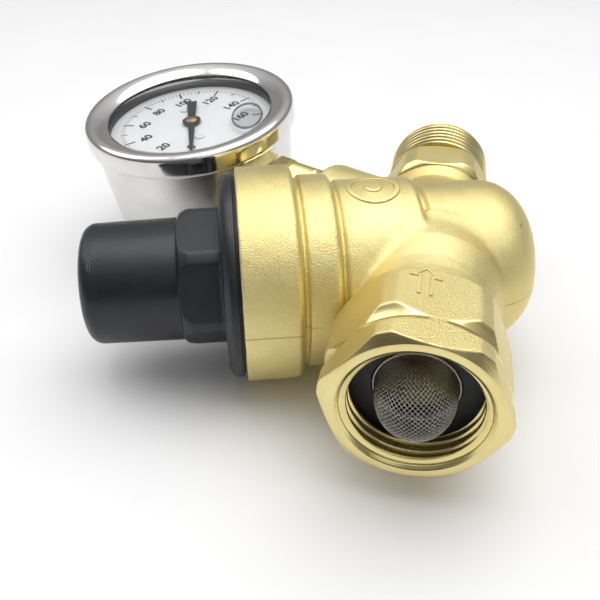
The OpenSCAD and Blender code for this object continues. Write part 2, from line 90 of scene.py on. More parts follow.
# ---------------------------------------------------------------- camera
def make_camera():
    """Stands low in front of the inlet, near enough for a strong perspective."""
    place, lens = (-0.00077, -0.0945, 0.0914), 43.38
    heading, drop, roll = math.radians(-11.7), math.radians(35.54), math.radians(-0.74)
    level = math.cos(drop)
    forward = Vector((math.sin(heading) * level, math.cos(heading) * level, -math.sin(drop)))
    right = forward.cross(Vector((0, 0, 1))).normalized()
    up = right.cross(forward)
    right, up = right * math.cos(roll) + up * math.sin(roll), up * math.cos(roll) - right * math.sin(roll)
    camera = bpy.data.objects.new("camera", bpy.data.cameras.new("camera"))
    bpy.context.scene.collection.objects.link(camera)
    facing = Matrix((right, up, -forward)).transposed().to_4x4()
    camera.matrix_world = Matrix.Translation(place) @ facing
    camera.data.sensor_width = 36
    camera.data.lens = lens
    camera.data.clip_start = 0.005
    bpy.context.scene.camera = camera


make_camera()


# ---------------------------------------------------------------- materials
class Shader:
    """A small builder for a material's nodes."""

    def __init__(self, name):
        self.material = bpy.data.materials.new(name)
        self.material.use_nodes = True
        self.tree = self.material.node_tree
        self.main = self.tree.nodes["Principled BSDF"]
        self.output = self.tree.nodes["Material Output"]
        self.place = self.add("ShaderNodeTexCoord").outputs["Object"]

    def add(self, kind, inputs=None, **settings):
        node = self.tree.nodes.new(kind)
        for key, value in settings.items():
            setattr(node, key, value)
        for key, value in (inputs or {}).items():
            if isinstance(value, bpy.types.NodeSocket):
                self.tree.links.new(value, node.inputs[key])
            else:
                node.inputs[key].default_value = value
        return node

    def link(self, output, target):
        self.tree.links.new(output, target)

    def math(self, operation, a, b=0.0):
        return self.add("ShaderNodeMath", {0: a, 1: b}, operation=operation).outputs[0]

    def noise(self, scale, detail=2.0, rough=0.5, vector=None):
        inputs = {"Vector": vector or self.place, "Scale": scale, "Detail": detail, "Roughness": rough}
        return self.add("ShaderNodeTexNoise", inputs).outputs["Fac"]

    def ramp(self, value, *stops):
        node = self.add("ShaderNodeValToRGB", {"Fac": value})
        points = node.color_ramp.elements
        while len(points) < len(stops):
            points.new(1.0)
        for point, (at, colour) in zip(points, stops):
            point.position = at
            point.color = (*colour, 1.0) if isinstance(colour, tuple) else (colour, colour, colour, 1.0)
        return node.outputs["Color"]

    def level(self, value, low, high, to_low, to_high):
        return self.add("ShaderNodeMapRange", {"Value": value, "From Min": low, "From Max": high,
                                               "To Min": to_low, "To Max": to_high}).outputs["Result"]

    def rings(self, at, scale, detail=3.0):
        """Noise that runs in rings round the axis of a frame, as a lathe tool leaves it."""
        inverse = at.inverted()
        offset = inverse.translation * MM
        spin = inverse.to_euler()
        inputs = {"Vector": self.place, "Location": offset, "Rotation": spin}
        local = self.add("ShaderNodeMapping", inputs).outputs[0]
        parts = self.add("ShaderNodeSeparateXYZ", {"Vector": local}).outputs
        square = self.math("ADD", self.math("MULTIPLY", parts["X"], parts["X"]),
                           self.math("MULTIPLY", parts["Y"], parts["Y"]))
        both = self.add("ShaderNodeCombineXYZ", {"X": self.math("SQRT", square), "Y": parts["Z"]}).outputs[0]
        return self.noise(scale, detail, 0.6, both)

    def bump(self, height, distance, strength=1.0, base=None):
        inputs = {"Height": height, "Distance": distance, "Strength": strength}
        if base is not None:
            inputs["Normal"] = base
        return self.add("ShaderNodeBump", inputs).outputs["Normal"]

    def finish(self, colour=None, rough=None, normal=None, **values):
        for key, value in values.items():
            self.main.inputs[key.replace("_", " ")].default_value = value
        for value, key in ((colour, "Base Color"), (rough, "Roughness"), (normal, "Normal")):
            if isinstance(value, bpy.types.NodeSocket):
                self.link(value, self.main.inputs[key])
            elif value is not None:
                self.main.inputs[key].default_value = (*value, 1.0) if isinstance(value, tuple) else value
        return self.material


def brass_blasted():
    """Cast brass after shot blasting: a fine even grain, a few open pits, and a faint mould line at z = 0."""
    s = Shader("brass_blasted")
    grain = s.noise(3400, 3.0, 0.6)
    broad = s.noise(260, 3.0, 0.55)
    cloud = s.noise(45, 2.0, 0.5)
    cells = {"Vector": s.place, "Scale": 150.0, "Randomness": 1.0}
    pits = s.add("ShaderNodeTexVoronoi", cells).outputs["Distance"]
    pit = s.math("MULTIPLY", s.level(pits, 0.03, 0.09, 1.0, 0.0),
                 s.level(s.noise(60, 1.0), 0.56, 0.62, 0.0, 1.0))
    height = s.add("ShaderNodeSeparateXYZ", {"Vector": s.place}).outputs["Z"]
    wander = s.math("MULTIPLY", s.math("SUBTRACT", s.noise(120, 2.0), 0.5), 0.0005)
    line = s.level(s.math("ABSOLUTE", s.math("ADD", height, wander)), 0.00006, 0.00022, 1.0, 0.0)
    line = s.math("MULTIPLY", line, s.level(s.noise(90, 1.0), 0.36, 0.52, 0.0, 1.0))
    tint = s.ramp(s.math("ADD", s.math("MULTIPLY", cloud, 0.6), s.math("MULTIPLY", grain, 0.4)),
                  (0.3, (0.72, 0.59, 0.235)), (0.52, (0.81, 0.69, 0.31)), (0.72, (0.88, 0.78, 0.40)))
    stain = {"Factor": s.math("MAXIMUM", pit, s.math("MULTIPLY", line, 0.45)), "A": tint,
             "B": (0.42, 0.26, 0.08, 1.0)}
    dark = s.add("ShaderNodeMix", stain, data_type="RGBA").outputs[2]
    rough = s.math("ADD", s.level(grain, 0.3, 0.7, 0.34, 0.46), s.level(broad, 0.3, 0.7, -0.03, 0.03))
    normal = s.bump(grain, 0.00019, 0.85)
    normal = s.bump(broad, 0.00022, 0.35, normal)
    normal = s.bump(s.math("SUBTRACT", s.math("MULTIPLY", line, 0.6), pit), 0.00018, 0.8, normal)
    return s.finish(dark, rough, normal, Metallic=1.0)


def brass_turned(name, at, rough=0.2):
    """Brass cut on a lathe, with fine tool rings round the axis of a frame."""
    s = Shader(name)
    lines = s.rings(at, 5200)
    bands = s.rings(at, 900, 2.0)
    cloud = s.noise(180, 3.0)
    tint = s.ramp(s.math("ADD", s.math("MULTIPLY", cloud, 0.5), s.math("MULTIPLY", bands, 0.5)),
                  (0.3, (0.74, 0.605, 0.25)), (0.7, (0.85, 0.745, 0.37)))
    roughness = s.math("ADD", s.level(lines, 0.3, 0.7, rough - 0.05, rough + 0.07),
                       s.level(cloud, 0.3, 0.7, -0.03, 0.05))
    normal = s.bump(lines, 0.00004, 0.5)
    normal = s.bump(bands, 0.00009, 0.3, normal)
    return s.finish(tint, roughness, normal, Metallic=1.0)


def moulded_black():
    """Black glass-filled nylon, with a dull mottled skin."""
    s = Shader("moulded_black")
    mottle = s.noise(330, 4.0, 0.6)
    fine = s.noise(2600, 2.0, 0.6)
    cloud = s.noise(70, 3.0)
    tint = s.ramp(cloud, (0.3, (0.006, 0.0075, 0.0105)), (0.7, (0.012, 0.015, 0.020)))
    rough = s.math("ADD", s.level(mottle, 0.35, 0.65, 0.3, 0.42), s.level(fine, 0.3, 0.7, -0.03, 0.03))
    normal = s.bump(mottle, 0.00016, 0.22)
    normal = s.bump(fine, 0.00005, 0.35, normal)
    return s.finish(tint, rough, normal, IOR=1.5)


def rubber():
    s = Shader("rubber_black")
    fine = s.noise(1400, 3.0, 0.6)
    cloud = s.noise(160, 2.0)
    tint = s.ramp(cloud, (0.3, (0.008, 0.009, 0.012)), (0.7, (0.016, 0.018, 0.024)))
    return s.finish(tint, s.level(fine, 0.3, 0.7, 0.42, 0.6), s.bump(fine, 0.00006, 0.4), IOR=1.5)


def steel(name, rough, at=IN_GAUGE, colour=(0.77, 0.755, 0.73), smudge=0.05):
    """Stainless steel with faint rings from polishing and a few smudges."""
    s = Shader(name)
    lines = s.rings(at, 3800)
    cloud = s.noise(120, 3.0, 0.55)
    dim = tuple(0.86 * c for c in colour)
    tint = s.ramp(cloud, (0.3, dim), (0.65, colour))
    roughness = s.math("ADD", s.level(lines, 0.3, 0.7, rough - 0.02, rough + 0.03),
                       s.level(cloud, 0.35, 0.75, 0.0, smudge))
    return s.finish(tint, roughness, s.bump(lines, 0.00002, 0.35), Metallic=1.0)


def wire_steel(name="wire_steel", colour=(0.62, 0.6, 0.56), rough=0.28):
    s = Shader(name)
    cloud = s.noise(420, 2.0)
    fine = s.noise(5200, 2.0)
    dim = tuple(0.72 * c for c in colour)
    tint = s.ramp(cloud, (0.32, dim), (0.66, colour))
    return s.finish(tint, s.level(fine, 0.3, 0.7, rough - 0.06, rough + 0.1), s.bump(fine, 0.00002, 0.4),
                    Metallic=1.0)


def painted(name, low, high, rough, scale=900, depth=0.00003, **values):
    """A painted, printed or coated surface with a fine even texture."""
    s = Shader(name)
    fine = s.noise(scale, 3.0, 0.6)
    tint = s.ramp(s.noise(scale * 0.1, 2.0), (0.3, low), (0.7, high))
    return s.finish(tint, s.level(fine, 0.3, 0.7, rough - 0.05, rough + 0.06), s.bump(fine, depth, 0.3),
                    **values)


def clear_pane(name, ior, tint, rough=0.02):
    """Something clear and thin: what is behind it shows, under a mirror that strengthens at a slant."""
    s = Shader(name)
    dust = s.noise(700, 3.0, 0.65)
    s.finish((0.95, 0.955, 0.96), s.level(dust, 0.55, 0.8, rough, rough + 0.04), None, Metallic=1.0)
    clear = s.add("ShaderNodeBsdfTransparent", {"Color": (*tint, 1.0)}).outputs[0]
    share = s.math("MULTIPLY", s.add("ShaderNodeFresnel", {"IOR": ior}).outputs[0],
                   s.math("SUBTRACT", 1.0, s.add("ShaderNodeNewGeometry").outputs["Backfacing"]))
    mix = s.add("ShaderNodeMixShader", {0: share, 1: clear, 2: s.main.outputs[0]}).outputs[0]
    s.link(mix, s.output.inputs["Surface"])
    return s.material


CAST = brass_blasted()
TURNED_FLOW = brass_turned("brass_turned_flow", ON_FLOW, 0.2)
TURNED_STEM = brass_turned("brass_turned_stem", ON_STEM, 0.17)
TURNED_AXIS = brass_turned("brass_turned_axis", ON_AXIS, 0.2)
TURNED_GAUGE = brass_turned("brass_gauge_works", IN_GAUGE, 0.24)
BLACK = moulded_black()
RUBBER = rubber()
POLISHED = steel("steel_polished", 0.07)
SATIN = steel("steel_satin", 0.2, smudge=0.08)
SHEET = steel("steel_sheet", 0.26, ON_AXIS, (0.7, 0.7, 0.71))
WIRE = wire_steel()
SPRING = wire_steel("steel_spring", (0.5, 0.5, 0.52), 0.3)
WHITE = painted("dial_white", (0.80, 0.805, 0.81), (0.86, 0.86, 0.86), 0.42)
INK = painted("dial_ink", (0.012, 0.012, 0.014), (0.022, 0.022, 0.024), 0.5)
GREY_INK = painted("dial_ink_grey", (0.10, 0.10, 0.11), (0.16, 0.16, 0.17), 0.5)
POINTER = painted("pointer_black", (0.008, 0.008, 0.009), (0.018, 0.018, 0.02), 0.35, 1500)
BRONZE = painted("hub_bronze", (0.24, 0.175, 0.10), (0.34, 0.26, 0.155), 0.34, 2400, Metallic=1.0)
GLASS = clear_pane("window_glass", 1.4, (0.97, 0.975, 0.975))
LIQUID = clear_pane("bubble_clear", 1.2, (0.96, 0.965, 0.97))
# Painted shade: the grey tint on the bubble's edge ring stands in for the dark outline that bent light gives
# a real bubble.
MENISCUS_PAINTED_SHADE = clear_pane("bubble_edge_painted_shade", 1.6, (0.5, 0.51, 0.53), 0.12)
# Painted shade: near-black steel on the inner sides of the screen's wires, so the far layer seen through the
# holes looks shaded.
WIRE_PAINTED_SHADE = wire_steel("wire_inner_painted_shade", (0.10, 0.09, 0.075), 0.5)


# ---------------------------------------------------------------- mesh tools
def add_mesh(name, points, faces, materials, body, at=None, index=None, sharp=40):
    """A piece from points in millimetres in a frame. It rides on the body, unless that is None."""
    place = np.array(at or Matrix.Identity(4))
    spots = (np.asarray(points, float).reshape(-1, 3) @ place[:3, :3].T + place[:3, 3]) * MM
    mesh = bpy.data.meshes.new(name)
    mesh.from_pydata(spots.tolist(), [], [list(map(int, f)) for f in faces])
    for material in materials if isinstance(materials, (list, tuple)) else [materials]:
        mesh.materials.append(material)
    mesh.polygons.foreach_set("use_smooth", np.ones(len(mesh.polygons), bool))
    if index is not None:
        mesh.polygons.foreach_set("material_index", np.asarray(index, np.int32))
    mesh.update()
    if sharp:
        mesh.set_sharp_from_angle(angle=math.radians(sharp))
    piece = bpy.data.objects.new(name, mesh)
    bpy.context.scene.collection.objects.link(piece)
    if body:
        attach(piece, body)
    return piece


def soften(points, radius, parts=3):
    """A profile with each inner corner rounded. radius is one number, or one for each point."""
    sizes = radius if isinstance(radius, (list, tuple)) else [radius] * len(points)
    out = [tuple(points[0])]
    for before, here, after, size in zip(points, points[1:], points[2:], sizes[1:]):
        a, h, b = Vector(before), Vector(here), Vector(after)
        start = h + (a - h) * min(0.48, size / max((a - h).length, 1e-6))
        end = h + (b - h) * min(0.48, size / max((b - h).length, 1e-6))
        for i in range(parts + 1):
            t = i / parts
            out.append(tuple(start * (1 - t) ** 2 + h * 2 * t * (1 - t) + end * t ** 2))
    out.append(tuple(points[-1]))
    return out


def resample(points, gap):
    """Points along a profile no further apart than gap, keeping its corners."""
    out = [points[0]]
    for a, b in zip(points, points[1:]):
        count = max(1, math.ceil(math.dist(a, b) / gap))
        out += [(a[0] + (b[0] - a[0]) * i / count, a[1] + (b[1] - a[1]) * i / count)
                for i in range(1, count + 1)]
    return out


def spun(profile, count, radius=None, closed=True):
    """Points and faces of a profile of (radius, height) spun round Z. radius(r, z, angles) may shape it."""
    angles = np.arange(count) * 2 * math.pi / count
    rows = []
    for r, z in profile:
        out = np.full(count, float(r)) if radius is None else radius(float(r), float(z), angles)
        rows.append(np.stack([out * np.cos(angles), out * np.sin(angles), np.full(count, float(z))], 1))
    points = np.concatenate(rows)
    total = len(profile)
    i = np.arange(total if closed else total - 1)[:, None]
    j = np.arange(count)[None, :]
    a, b = i * count + j, i * count + (j + 1) % count
    c, d = ((i + 1) % total) * count + (j + 1) % count, ((i + 1) % total) * count + j
    faces = np.stack([a, b, c, d], -1).reshape(-1, 4)
    return points, faces


def hexagon_radius(angles, flats, corner):
    """How far a hexagon's edge is from its centre, with a corner at that angle in degrees."""
    part = np.mod(np.degrees(angles) - corner, 60) - 30
    return flats / 2 / np.cos(np.radians(part))


def smooth_min(a, b, k):
    h = np.maximum(k - np.abs(a - b), 0) / k
    return np.minimum(a, b) - h * h * k / 4


def smooth_max(a, b, k):
    return -smooth_min(-a, -b, k)


def lathe(name, profile, at, material, body, count=192, sharp=35, radius=None):
    points, faces = spun(profile, count, radius)
    return add_mesh(name, points, faces, material, body, at, sharp=sharp)


# ---------------------------------------------------------------- casting, from a distance field
def flat_distance(poly, x, y):
    nearest = np.full(x.shape, 1e9)
    inside = np.zeros(x.shape, bool)
    for (ax, ay), (bx, by) in zip(poly, poly[1:] + poly[:1]):
        ex, ey, wx, wy = bx - ax, by - ay, x - ax, y - ay
        t = np.clip((wx * ex + wy * ey) / max(ex * ex + ey * ey, 1e-12), 0, 1)
        nearest = np.minimum(nearest, np.hypot(wx - ex * t, wy - ey * t))
        if ay != by:
            inside ^= ((ay > y) != (by > y)) & (x < ex * (y - ay) / (by - ay) + ax)
    return np.where(inside, -nearest, nearest)


class Turned:
    """The signed distance from a solid spun round a frame's Z axis, read from a grid it works out."""

    GAP = 0.12

    def __init__(self, profile, at):
        poly = list(profile) + [(-r, z) for r, z in reversed(profile) if r > 0]
        heights = [z for _, z in profile]
        self.low = min(heights) - 14
        self.shape = (int(44 / self.GAP), int((max(heights) - self.low + 14) / self.GAP))
        r, z = np.meshgrid(np.arange(self.shape[0]) * self.GAP,
                           self.low + np.arange(self.shape[1]) * self.GAP, indexing="ij")
        self.table = flat_distance(poly, r, z).astype(np.float32)
        self.back = np.array(at.inverted())

    def __call__(self, spots):
        p = spots @ self.back[:3, :3].T + self.back[:3, 3]
        u = np.clip(np.hypot(p[:, 0], p[:, 1]) / self.GAP, 0, self.shape[0] - 1.001)
        v = np.clip((p[:, 2] - self.low) / self.GAP, 0, self.shape[1] - 1.001)
        i, j = u.astype(np.int32), v.astype(np.int32)
        u, v = u - i, v - j
        t = self.table
        lower = t[i, j] * (1 - u) + t[i + 1, j] * u
        upper = t[i, j + 1] * (1 - u) + t[i + 1, j + 1] * u
        return lower * (1 - v) + upper * v


def rod(radius, low, high, at):
    return Turned([(0, low), (radius, low), (radius, high), (0, high)], at)


# the steps of the barrel from the open end: flange, middle step, emblem step, rounded end
BARREL = [(0, -43.9), (24.0, -43.9), (24.3, -43.6), (24.3, -32.4), (23.6, -31.6), (21.3, -31.1),
          (21.2, -30.5), (21.9, -30.0), (21.9, -24.2), (21.4, -23.4), (19.7, -22.9), (19.6, -22.3),
          (BARREL_TOP, -21.8), (BARREL_TOP, -5.6), (19.7, -4.8), (17.9, -4.3), (17.8, -3.5),
          (18.6, -2.8), (18.6, 10.6)]
BARREL += [(7.6 + 11 * math.cos(math.radians(a)), 10.6 + 11 * math.sin(math.radians(a)))
           for a in range(7, 85, 7)]
BARREL += [(0, 21.65)]
STEP_ROUNDING = [0.5, 0.4, 0.2, 0.15, 0.25]
ROUNDING = [0, 0.2, 0.2] + 3 * STEP_ROUNDING + [0] * 20


def casting_field():
    """The cast body: barrel, both necks, and the gauge boss, joined by fillets, less the bores."""
    barrel = Turned(soften(BARREL, ROUNDING[:len(BARREL)], 4), ON_AXIS)
    neck_in = Turned([(0, 19), (15, 19), (15, 27), (15.3, 30), (16.0, 33), (16.7, 36), (17.0, 44), (0, 44)],
                     ON_FLOW)
    neck_out = Turned([(0, 58), (15, 58), (14.4, 66), (12.6, 70), (11.9, 73), (13.1, 76), (13.1, 77.4),
                       (0, 77.4)], ON_FLOW)
    boss = Turned(soften([(0, 12), (13.2, 12), (12.6, 26), (12.5, 40), (0, 40)], [0, 0, 0, 1.6, 0], 5),
                  ON_STEM)
    nub = Turned([(0, -0.9), (0.9, -0.5), (0.9, 0.5), (0, 0.9)],
                 ON_AXIS @ Matrix.Translation((0, 22.2, -30.8)))
    cast = ((neck_in, 1.3), (neck_out, 2.4), (boss, 2.0), (nub, 0.6))
    port = Matrix.Translation((0, 28, 0)) @ turn("Z", -39) @ ON_FLOW
    outlet_port = ON_AXIS @ Matrix.Translation((0, 5, -9)) @ turn("X", -51)
    bores = (rod(20.15, -46, -37.8, ON_AXIS), rod(17.75, -46, -27.9, ON_AXIS),
             rod(12.15, -30, -5.9, ON_AXIS), rod(10.2, -8, 17.5, ON_AXIS),
             rod(8.25, 16, 30, ON_FLOW), rod(5.2, 0, 22, port),
             rod(4.8, 0, 26, outlet_port), rod(9.6, 72, 80, ON_FLOW),
             rod(6.75, 27, 42, ON_STEM), rod(2.5, 15, 28, ON_STEM))
    low, high = np.array([-50.5, 14.0, -25.2]), np.array([31.5, 86.5, 25.2])
    counts = np.ceil((high - low) / STEP).astype(int) + 1
    xs, ys, zs = (low[a] + np.arange(counts[a]) * STEP for a in range(3))
    field = np.empty(counts, np.float32)
    gx, gy = np.meshgrid(xs, ys, indexing="ij")
    for k, z in enumerate(zs):
        spots = np.stack([gx.ravel(), gy.ravel(), np.full(gx.size, z)], 1)
        out = barrel(spots)
        for part, fillet in cast:
            out = smooth_min(out, part(spots), fillet)
        x, y = spots[:, 0], spots[:, 1]
        out = out + 0.02 * np.sin(0.83 * x + 1.3 * np.sin(0.41 * z)) * np.sin(0.71 * y + 0.9 * z) + 0.015
        for bore in bores:
            out = smooth_max(out, -bore(spots), 0.25)
        field[:, :, k] = out.reshape(gx.shape)
    field[0], field[-1], field[:, 0], field[:, -1], field[:, :, 0], field[:, :, -1] = (1.0,) * 6
    return field, low


def skin(field, low, step):
    """A closed mesh of quads on the zero level of a field, with each point moved onto the level."""
    inside = field < 0
    size = np.array(field.shape) - 1
    corners = [(i, j, k) for i in (0, 1) for j in (0, 1) for k in (0, 1)]
    filled = sum(inside[i:size[0] + i, j:size[1] + j, k:size[2] + k].astype(np.int8) for i, j, k in corners)
    cells = np.argwhere((filled > 0) & (filled < 8))
    number = np.full(size, -1, np.int64)
    number[tuple(cells.T)] = np.arange(len(cells))
    values = [field[cells[:, 0] + i, cells[:, 1] + j, cells[:, 2] + k].astype(float) for i, j, k in corners]
    where, count = np.zeros((len(cells), 3)), np.zeros(len(cells))
    for a in range(8):
        for b in range(a + 1, 8):
            gap = np.array(corners[b]) - np.array(corners[a])
            if abs(gap).sum() != 1:
                continue
            cross = (values[a] < 0) != (values[b] < 0)
            t = np.where(cross, values[a] / np.where(cross, values[a] - values[b], 1), 0)
            where += np.where(cross[:, None], np.array(corners[a]) + t[:, None] * gap, 0)
            count += cross
    t = where / count[:, None]
    for _ in range(2):
        value, slope = np.zeros(len(cells)), np.zeros((len(cells), 3))
        for v, corner in zip(values, corners):
            weights = [t[:, a] if corner[a] else 1 - t[:, a] for a in range(3)]
            value += v * weights[0] * weights[1] * weights[2]
            for a in range(3):
                others = [weights[b] for b in range(3) if b != a]
                slope[:, a] += v * (1 if corner[a] else -1) * others[0] * others[1]
        t = np.clip(t - slope * (value / np.maximum((slope ** 2).sum(1), 1e-9))[:, None], -0.2, 1.2)
    points = low + step * (cells + t)
    faces = []
    for axis in range(3):
        u, v = (axis + 1) % 3, (axis + 2) % 3
        first = np.moveaxis(inside, axis, 0)[:-1]
        second = np.moveaxis(inside, axis, 0)[1:]
        edges = np.argwhere(np.moveaxis(first != second, 0, axis))
        within = (edges[:, u] > 0) & (edges[:, v] > 0) & (edges[:, u] < size[u]) & (edges[:, v] < size[v])
        edges = edges[within]
        du, dv = np.zeros(3, int), np.zeros(3, int)
        du[u], dv[v] = 1, 1
        ring = np.stack([number[tuple((edges - shift).T)] for shift in (0 * du, du, du + dv, dv)], 1)
        solid = inside[tuple(edges.T)]
        faces.append(np.where(solid[:, None], ring, ring[:, ::-1]))
    return points, np.concatenate(faces)


points, faces = skin(*casting_field(), STEP)
casting = add_mesh("body_casting", points, faces, CAST, "body", sharp=0)
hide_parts("valve_body")


def emblem(name, section):
    """A raised ring or dot that lies on the top of the barrel and follows its curve."""
    points, faces = spun(soften(section, 0.12, 3), 160)
    along, across, lift = points.T
    middle = -14.3
    bent = np.column_stack([-np.sqrt((BARREL_TOP + lift) ** 2 - across ** 2), across, along + middle])
    piece = add_mesh(name, bent, faces, CAST, "body", ON_AXIS, sharp=60)


emblem("emblem_ring", [(4.4, -0.2), (4.6, 0.34), (4.8, 0.42), (5.6, 0.42), (5.8, 0.34), (6.0, -0.2)])
emblem("emblem_dot", [(0.01, -0.2), (0.01, 0.42), (1.7, 0.42), (1.95, 0.3), (2.15, -0.2)])


# ---------------------------------------------------------------- inlet and outlet
def thread_wave(z, angles):
    """0 at a thread's narrow root to 1 at its broad rounded crest, for a right-hand thread."""
    phase = 0.5 - 0.5 * np.cos(2 * math.pi * (z / THREAD_PITCH - angles / (2 * math.pi)))
    return 1 - (1 - phase) ** 2.2


def fade(value, low, high):
    t = min(max((value - low) / (high - low), 0.0), 1.0)
    return t * t * (3 - 2 * t)


def end_piece(name, outside, inside, shape, flats, corner, cut):
    """A hexagon end, turned on its edges, with its threads. Inside the radius cut it is machined."""
    profile = outside + inside
    count = 720
    points, faces = spun(profile, count, shape)
    rows = np.arange(len(faces)) // count
    radii = np.array([p[0] for p in profile])
    angles = (np.arange(len(faces)) % count) * 2 * math.pi / count
    row_r = (radii[rows] + radii[(rows + 1) % len(profile)]) / 2
    edge = hexagon_radius(angles, flats, corner) + 0.05
    machined = (row_r < np.minimum(cut, edge)) | (rows >= len(outside) - 1)
    return add_mesh(name, points, faces[:, ::-1], [CAST, TURNED_FLOW], "body", ON_FLOW, machined.astype(int),
                    sharp=50)


def inlet_end():
    turned = [(14.6, 24.6), (15.6, 23.6), (17.2, 22), (18, 20.6), (18, 10), (17.1, 9), (16.4, 7.9),
              (16.4, 7.1), (17.1, 6), (18, 5), (18, 1.3), (15.9, 0.05)]
    outside = resample(soften(turned, 0.35, 3), 0.22)
    mouth = [(15.9, 0.05), (15.4, 0), (14.45, 0), (INLET_ROOT, 0.75), (INLET_ROOT, 1.2)]
    lip = resample(soften(mouth, 0.25, 3), 0.2)[1:]
    threads = [(INLET_ROOT, z) for z in np.arange(1.3, 7.41, 0.1)]
    rest = [(INLET_ROOT, 7.5), (INLET_ROOT, 10.8), (8, 10.8), (8, 24.6)]

    def shape(r, z, angles):
        if (r, z) in rest or z > 24.59:
            return np.full(len(angles), r)
        if r == INLET_ROOT and z < 7.5:
            return r - 1.2 * thread_wave(z + 0.3, angles) * fade(z, 0.8, 1.5) * (1 - fade(z, 7.15, 7.4))
        if r > 15.4:
            return smooth_min(hexagon_radius(angles, INLET_FLATS, INLET_CORNER), np.full(len(angles), r), 0.3)
        return np.full(len(angles), r)

    return end_piece("inlet_end", outside, lip + threads + rest, shape, INLET_FLATS, INLET_CORNER, 17.9)


def outlet_end():
    turned = [(9.4, 76.2), (13.1, 76.2), (13.6, 76.5), (14.7, 77.8), (14.7, 86), (13.2, 87.6), (12, 87.6),
              (12, 89.9), (12.2, 90)]
    outside = resample(soften(turned, [0, 0.1, 0.3, 0.4, 0.4, 0.3, 0.3, 0.3, 0], 3), 0.22)
    threads = [(OUTLET_CREST, z) for z in np.arange(90.1, 103.21, 0.12)]
    mouth = [(OUTLET_CREST, 103.21), (12.5, 104), (9.9, 104), (9.4, 103.5), (9.4, 103.3)]
    end = resample(soften(mouth, 0.2, 3), 0.25)[1:]
    rest = [(9.4, 90), (9.4, 76.3)]

    def shape(r, z, angles):
        if r == OUTLET_CREST:
            return r - 1.1 * (1 - thread_wave(z, angles)) * fade(z, 89.9, 91.2)
        if r > 13.15 and 76.2 < z < 87.6:
            return smooth_min(hexagon_radius(angles, OUTLET_FLATS, 0), np.full(len(angles), r), 0.3)
        return np.full(len(angles), r)

    return end_piece("outlet_end", outside, threads + end + rest, shape, OUTLET_FLATS, 0, 14.6)


for piece in (inlet_end(), outlet_end()):
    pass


# ---------------------------------------------------------------- flow arrow on the inlet hexagon
def outline_solid(name, loops, low, high, bevel, at, material, body):
    """A flat outline with holes, raised between two heights, with its upper edges rounded."""
    curve = bpy.data.curves.new(name, "CURVE")
    curve.dimensions, curve.fill_mode = "2D", "BOTH"
    for loop in loops:
        spline = curve.splines.new("POLY")
        spline.points.add(len(loop) - 1)
        for point, (x, y) in zip(spline.points, loop):
            point.co = (x, y, 0, 1)
        spline.use_cyclic_u = True
    curve.extrude = (high - low) / 2 - bevel
    curve.bevel_depth = bevel
    curve.bevel_resolution = 2
    curve.offset = -bevel
    holder = bpy.data.objects.new(name, curve)
    bpy.context.scene.collection.objects.link(holder)
    mesh = bpy.data.meshes.new_from_object(holder.evaluated_get(bpy.context.evaluated_depsgraph_get()))
    bpy.data.objects.remove(holder)
    points = np.array([v.co for v in mesh.vertices]) + np.array([0, 0, (low + high) / 2])
    faces = [list(p.vertices) for p in mesh.polygons]
    bpy.data.meshes.remove(mesh)
    return add_mesh(name, points, faces, material, body, at, sharp=40)


ARROW_TOP = 16.3 + 0.35
ARROW = [(-1.5, 13.8), (-1.5, 19.3), (-3.1, 19.3), (0, 23.0), (3.1, 19.3), (1.5, 19.3), (1.5, 13.8),
         (0.75, 13.8), (0.75, 20.0), (1.6, 20.0), (0, 21.9), (-1.6, 20.0), (-0.75, 20.0), (-0.75, 13.8)]
arrow = outline_solid("flow_arrow", [ARROW[::-1]], 15.6, ARROW_TOP, 0.14,
                      turn("Y", INLET_CORNER) @ Matrix.Translation((-2.8, 0, 0)), CAST, "body")


# ---------------------------------------------------------------- bonnet
def bonnet():
    cap = [(5.08, -70), (5.08, -75.9), (7.4, -75.9), (7.4, -78.1), (10.6, -78.1)]
    cap += [(10.6 + 3 * math.sin(math.radians(a)), -75.1 - 3 * math.cos(math.radians(a)))
            for a in range(10, 91, 10)]
    cap += [(13.9, -57.3), (14.0, -57.2), (14.9, -56.7), (15.7, -55.0), (15.7, -47.2), (15.7, -46.8),
            (11.2, -46.8), (11.2, -70)]
    sizes = [0, 0.15, 0.25, 0.35, 0.2] + [0] * 9 + [0.35, 0.1, 0.3, 0.5, 0, 0, 0, 0]
    profile = resample(soften(cap, sizes, 3), 0.3)

    def shape(r, z, angles):
        if r < 12 or z > -46.9:
            return np.full(len(angles), r)
        out = smooth_min(hexagon_radius(angles, BONNET_FLATS, BONNET_CORNER), np.full(len(angles), r), 0.2)
        return out + 0.7 * max(0.0, (z + 48.5) / 0.9) ** 2 if z > -48.5 else out

    hexed, faces = spun(profile, 360, shape)
    rim = soften([(11.3, -47.6), (21.5, -47.6), (23.2, -46.1), (23.2, -44.5), (20.3, -44.5), (19.9, -44.4),
                  (19.9, -38.5), (16.6, -38.5), (16.6, -44.6), (11.3, -44.6)],
                  [0, 0.5, 0.5, 0.3, 0.1, 0.1, 0.2, 0.2, 0.1, 0], 3)
    flange, more = spun(rim, 360)
    points = np.concatenate([hexed, flange])
    faces = np.concatenate([faces, more + len(hexed)])
    return add_mesh("bonnet_moulding", points, faces, BLACK, "body", ON_AXIS, sharp=45)


bonnet_piece = bonnet()
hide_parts("bonnet")


